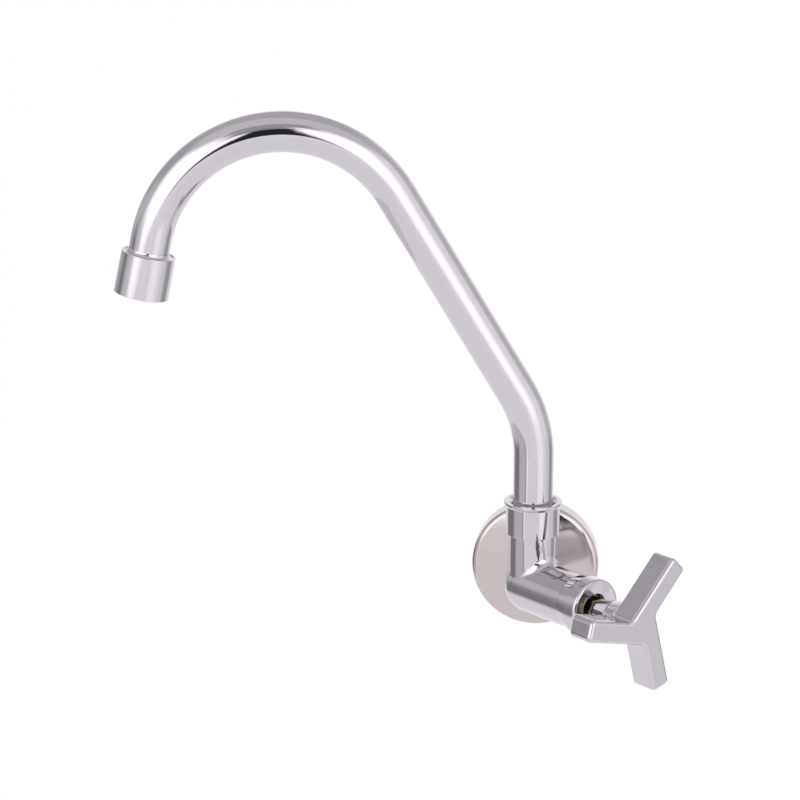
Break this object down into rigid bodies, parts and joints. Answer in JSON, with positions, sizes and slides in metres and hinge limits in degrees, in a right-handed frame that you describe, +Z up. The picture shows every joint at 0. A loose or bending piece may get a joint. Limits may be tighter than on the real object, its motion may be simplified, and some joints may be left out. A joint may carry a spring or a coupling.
{
  "type": "wall faucet",
  "caption": "Wall-mounted sink faucet with a swivelling swan-neck spout and a screw-down valve turned by a three-armed handle at its side.",
  "frame": {"origin": "where the axis of the inlet thread meets the wall", "axes": "+Z up, +Y into the wall along the inlet, +X to the right as seen from the room"},
  "size_m": [0.2646, 0.1329, 0.2633],
  "materials": {
    "chrome": "polished chrome plate on cast brass",
    "steel_flange": "polished stainless sheet",
    "brass": "machined brass",
    "rubber": "moulded black rubber",
    "nylon": "white nylon",
    "packing": "white packing ring",
    "grey_plastic": "moulded grey plastic",
    "steel": "stainless steel"
  },
  "bodies": {
    "body": {"valve_body": "chrome", "valve_seat": "steel", "wall_flange": "steel_flange", "spout_nut": "chrome", "spout_bearing": "nylon", "bonnet_seal": "rubber", "bonnet": "brass", "gland_packing": "packing", "gland_nut": "brass", "bonnet_shroud": "chrome"},
    "jumper": {"jumper": "brass", "seat_washer": "rubber", "washer_nut": "brass"},
    "handle": {"spindle": "brass", "handle": "chrome", "handle_screw": "steel"},
    "spout": {"spout_tail": "brass", "spout_seal_lower": "rubber", "spout_seal_upper": "rubber", "slip_ring": "nylon", "spout_tube": "chrome", "outlet_collar": "chrome", "aerator_washer": "rubber", "aerator_housing": "chrome", "aerator_baffle": "grey_plastic", "aerator_core": "grey_plastic", "aerator_screen": "steel"}
  },
  "joints": [
    {"name": "spout_swivel", "type": "hinge", "parent": "body", "child": "spout", "pos_m": [0, -0.0405, 0.03895], "axis": [0, 0, 1], "range_deg": [-16, 179]},
    {"name": "spindle_lift", "type": "slide", "parent": "body", "child": "jumper", "axis": [0.7071, -0.7071, 0], "range_m": [0, 0.003]},
    {"name": "handle_turn", "type": "hinge", "parent": "jumper", "child": "handle", "pos_m": [0.04525, -0.08575, 0], "axis": [0.7071, -0.7071, 0], "range_deg": [0, 540]}
  ],
  "couplings": [
    {"joint": "handle_turn", "follows": "spindle_lift", "rad_per_m": 3141.6}
  ]
}
